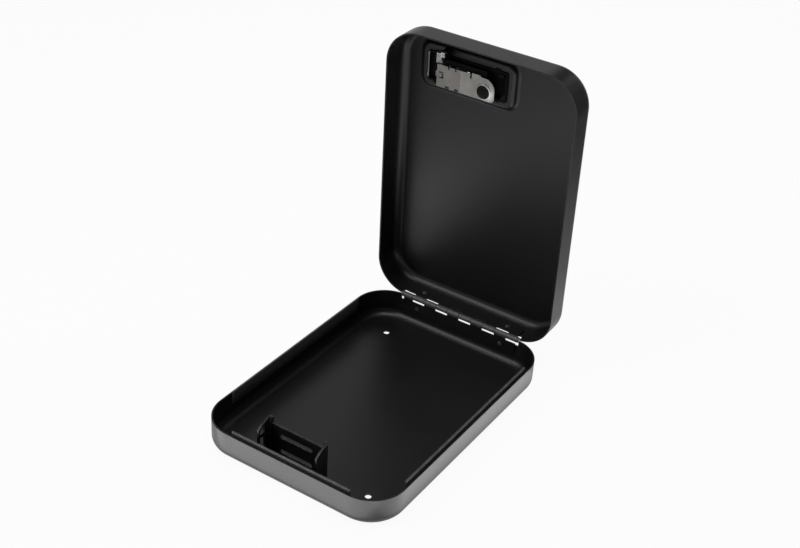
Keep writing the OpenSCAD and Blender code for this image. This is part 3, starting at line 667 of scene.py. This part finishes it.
def make_hub_holes():
    """Blind holes in the dome: a matt disc each, in a low rim."""
    rim_width = 0.14
    rim_rise = 0.03
    depth = 0.1
    bm = bmesh.new()
    for x, y, r in HUB_HOLES:
        dome = HUB_FACE - HUB_RISE + HUB_FALL * (x * x + y * y)
        hole = circle_outline(KNOB.x + x, KNOB.y + y, r)
        rim = circle_outline(KNOB.x + x, KNOB.y + y, r + rim_width)
        ring_slab(bm, rim, hole, dome - rim_rise, dome + depth)
        slab(bm, hole, dome, dome + depth)
    add_piece("hub_holes", bm, INNER_PLASTIC, "knob")


def make_housing_clip():
    """A narrow plated clip along the left rim of the housing, wider at its two feet."""
    strip = (0.9, 21.5)
    foot = (1.3, 2.2)
    bevel = 0.08
    x = HOUSING_LOW.x + 3.8
    y = HOUSING_LOW.y + 14.7
    bm = bmesh.new()
    block(bm, (x, y), strip, 0.4, INNER_RIM - 0.32, INNER_RIM - 0.02, bevel)
    for side in (-1, 1):
        block(bm, (x - 0.2, y + side * 8.6), foot, 0.5, INNER_RIM - 0.42, INNER_RIM - 0.04, bevel)
    add_piece("housing_clip", bm, NICKEL, "lid")


for number, centre in enumerate(WHEELS, 1):
    make_wheel_numbers(number, centre)
make_leaf_tabs()
make_housing_webs()
make_window_frame()
make_index_marks()
make_knob_coin_edge()
make_knob_pointer()
make_hub_cap()
make_hub_holes()
make_housing_clip()

# ---------------------------------------------------------------- stage
# sizes in metres, power in watts
FLOOR_SIZE = 40.0
FLOOR_Z = -0.0002
FLOOR_TONE = 0.86
# how much of the floor's look is plain white, where it is seen directly
FLOOR_GLOW = 0.94
# the z of a direction where the backdrop begins to darken and where it is dark, and its strengths
BACKDROP_SLOPES = (0.08, 0.20)
BACKDROP_STRENGTHS = (1.0, 0.04)
AIM = Vector((0, 0.02, 0.08))
# name, place, side of the square, power
SOFTBOXES = (
    ("top", (0, 0, 1.8), 1.2, 15.0),
    ("back_left", (-0.8, 1.3, 1.0), 1.0, 1.9),
    ("front_left", (-0.72, -0.86, 1.2), 0.8, 7.0),
    ("back_right", (0.7, 1.5, 0.9), 0.8, 5.0),
)
# name, place on the table, width, length, power
TABLE_GLOWS = (
    ("glow_front", (0, -0.165), 0.26, 0.08, 0.17),
    ("glow_right", (0.13, -0.01), 0.08, 0.26, 0.11),
    ("glow_left", (-0.155, -0.03), 0.05, 0.12, 0.022),
)
GLOW_Z = 0.0004
# nets: opacity rises over the side net's heights, and over the table net's reach from its centre
SIDE_NET_PLACE = Vector((0.235, 0.196, 0))
SIDE_NET_FACING = Vector((0.523, 0.852))
SIDE_NET_SIZE = (0.3, 0.5)
SIDE_NET_HEIGHTS = (0.04, 0.15)
SIDE_NET_OPACITIES = (0.50, 0.88)
TABLE_NET_CENTRE = Vector((-0.10, 0.03, 0.0008))
TABLE_NET_X = (-0.8, -0.092)
TABLE_NET_Y = (-0.8, 0.2)
TABLE_NET_REACH = (0.10, 0.28)
TABLE_NET_OPACITY = 0.75


def seen_directly(t):
    """1 for camera, glossy and transmission rays."""
    path = t.add("ShaderNodeLightPath")
    seen = t.math("MAXIMUM", path.outputs["Is Camera Ray"], path.outputs["Is Glossy Ray"])
    return t.math("MAXIMUM", seen, path.outputs["Is Transmission Ray"])


def level(left, right, front, back, z):
    """The corners of a level rectangle."""
    return [(left, front, z), (right, front, z), (right, back, z), (left, back, z)]


def sheet(name, outline, material):
    """A flat sheet of the stage, one quad."""
    mesh = bpy.data.meshes.new(name)
    mesh.from_pydata(outline, [], [(0, 1, 2, 3)])
    mesh.materials.append(material)
    piece = bpy.data.objects.new(name, mesh)
    scene.collection.objects.link(piece)
    return piece


def make_floor():
    """A pale floor, shown white to all but diffuse rays, so that it keeps its shadows."""
    material, t = new_material("floor")
    pale = t.add("ShaderNodeBsdfDiffuse", {"Color": grey(FLOOR_TONE)})
    white = t.add("ShaderNodeEmission", {"Color": grey(1), "Strength": 1.0})
    t.finish(t.mix_shaders(t.math("MULTIPLY", seen_directly(t), FLOOR_GLOW), pale, white))
    h = FLOOR_SIZE / 2
    sheet("floor", level(-h, h, -h, h, FLOOR_Z), material)


def make_world():
    """A dark studio above a low bright backdrop."""
    world = bpy.data.worlds.new("world")
    scene.world = world
    world.use_nodes = True
    t = Tree(world.node_tree)
    up = t.along("Z", t.add("ShaderNodeTexCoord").outputs["Generated"])
    strength = t.ramp(up, *BACKDROP_SLOPES, *BACKDROP_STRENGTHS)
    back = t.add("ShaderNodeBackground", {"Color": grey(1), "Strength": strength})
    t.add("ShaderNodeOutputWorld", {"Surface": back.outputs[0]})


def area_lamp(name, width, length, power):
    data = bpy.data.lights.new(name, "AREA")
    data.shape = "RECTANGLE"
    data.size = width
    data.size_y = length
    data.energy = power
    lamp = bpy.data.objects.new(name, data)
    scene.collection.objects.link(lamp)
    return lamp


def make_softbox(name, place, side, power):
    lamp = area_lamp(name, side, side, power)
    lamp.location = place
    lamp.rotation_euler = (AIM - Vector(place)).to_track_quat("-Z", "Y").to_euler()


def make_table_glow(name, place, width, length, power):
    """A strip of the lit table top, close to the tray's foot."""
    lamp = area_lamp(name, width, length, power)
    lamp.location = (*place, GLOW_Z)
    lamp.rotation_euler = (math.pi, 0, 0)
    lamp.visible_camera = False


def black_net(name, outline, opacity):
    """A graded black net, seen only in reflections. opacity(t) gives its strength."""
    material, t = new_material(name)
    black = t.add("ShaderNodeBsdfDiffuse", {"Color": grey(0.01)})
    clear = t.add("ShaderNodeBsdfTransparent", {"Color": grey(1)})
    t.finish(t.mix_shaders(t.math("SUBTRACT", 1.0, opacity(t)), black, clear))
    net = sheet(name, outline, material)
    net.visible_camera = False
    net.visible_shadow = False
    net.visible_diffuse = False
    return net


def make_side_net():
    """Keeps the far part of the bright table off the lid's side."""
    def opacity(t):
        return t.ramp(t.along("Z", t.place()), *SIDE_NET_HEIGHTS, *SIDE_NET_OPACITIES)
    width, height = SIDE_NET_SIZE
    w = width / 2
    net = black_net("side_net", [(-w, 0, 0), (w, 0, 0), (w, 0, height), (-w, 0, height)], opacity)
    net.location = SIDE_NET_PLACE
    net.rotation_euler = (0, 0, math.atan2(-SIDE_NET_FACING.x, SIDE_NET_FACING.y))


def make_table_net():
    """Makes the table fall off to the left, as the inside of the lid shows it."""
    def opacity(t):
        return t.ramp(t.distance(TABLE_NET_CENTRE), *TABLE_NET_REACH, 0.0, TABLE_NET_OPACITY)
    black_net("table_net", level(*TABLE_NET_X, *TABLE_NET_Y, TABLE_NET_CENTRE.z), opacity)


make_floor()
make_world()
for softbox in SOFTBOXES:
    make_softbox(*softbox)
for glow in TABLE_GLOWS:
    make_table_glow(*glow)
make_side_net()
make_table_net()

scene.view_settings.view_transform = "Standard"
